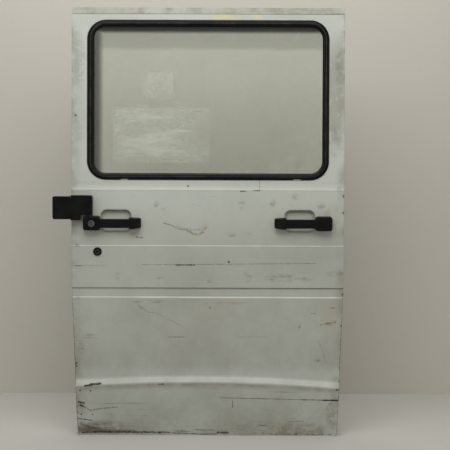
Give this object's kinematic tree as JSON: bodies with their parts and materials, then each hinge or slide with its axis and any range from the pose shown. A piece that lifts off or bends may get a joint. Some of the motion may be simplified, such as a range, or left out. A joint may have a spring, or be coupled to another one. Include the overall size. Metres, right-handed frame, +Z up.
{
  "type": "van sliding door",
  "caption": "Glazed sliding side door of a light van, with two outer pull handles, a swinging rear hinge arm under a cover, and guide rollers on its inner side.",
  "frame": {"origin": "middle of the bottom hem's flat underside", "axes": "+X to the vehicle's front, +Y into the vehicle, +Z up"},
  "size_m": [1.187, 0.265, 1.769],
  "materials": {
    "paint": "satin",
    "inner_paint": "satin",
    "glass": "gloss",
    "rubber": "matt",
    "black_plastic": "satin",
    "steel": "satin",
    "chrome": "gloss",
    "roller": "satin",
    "board": "matt"
  },
  "bodies": {
    "door": {"outer_skin": "paint", "inner_panel": "inner_paint", "edge_channel": "inner_paint", "latch_plates": "inner_paint", "window_frame": "inner_paint", "top_strip": "paint", "window_glass": "glass", "window_seal": "rubber", "seal_bead": "rubber", "rear_handle": "black_plastic", "rear_handle_pads": "rubber", "front_handle": "black_plastic", "front_handle_pads": "rubber", "lock_bezel": "black_plastic", "lock_plug": "steel", "hinge_cover": "black_plastic", "hinge_bracket": "steel", "hinge_pin": "steel", "top_roller_bracket": "steel", "top_roller": "roller", "low_roller_bracket": "steel", "low_load_roller": "roller", "low_guide_roller": "roller", "front_latch": "steel", "front_latch_fork": "steel", "rear_latch": "steel", "rear_latch_fork": "steel", "front_edge_rubber": "rubber", "rear_edge_rubber": "rubber", "bottom_rubber": "rubber", "trim_board": "board", "trim_clips": "black_plastic", "release_plate": "black_plastic", "release_lever": "black_plastic"},
    "swing_arm": {"hinge_arm": "steel", "arm_cover": "black_plastic", "arm_load_roller": "roller", "arm_guide_roller": "roller"},
    "button": {"push_button": "chrome", "key_cylinder": "steel"}
  },
  "joints": [
    {"name": "arm_swing", "type": "hinge", "parent": "door", "child": "swing_arm", "pos_m": [-0.57, -0.0883, 0.955], "axis": [0, 0, -1], "range_deg": [0, 45]},
    {"name": "button_press", "type": "slide", "parent": "door", "child": "button", "axis": [0, 1, 0], "range_m": [0, 0.008], "stiffness_N_per_m": 400}
  ]
}
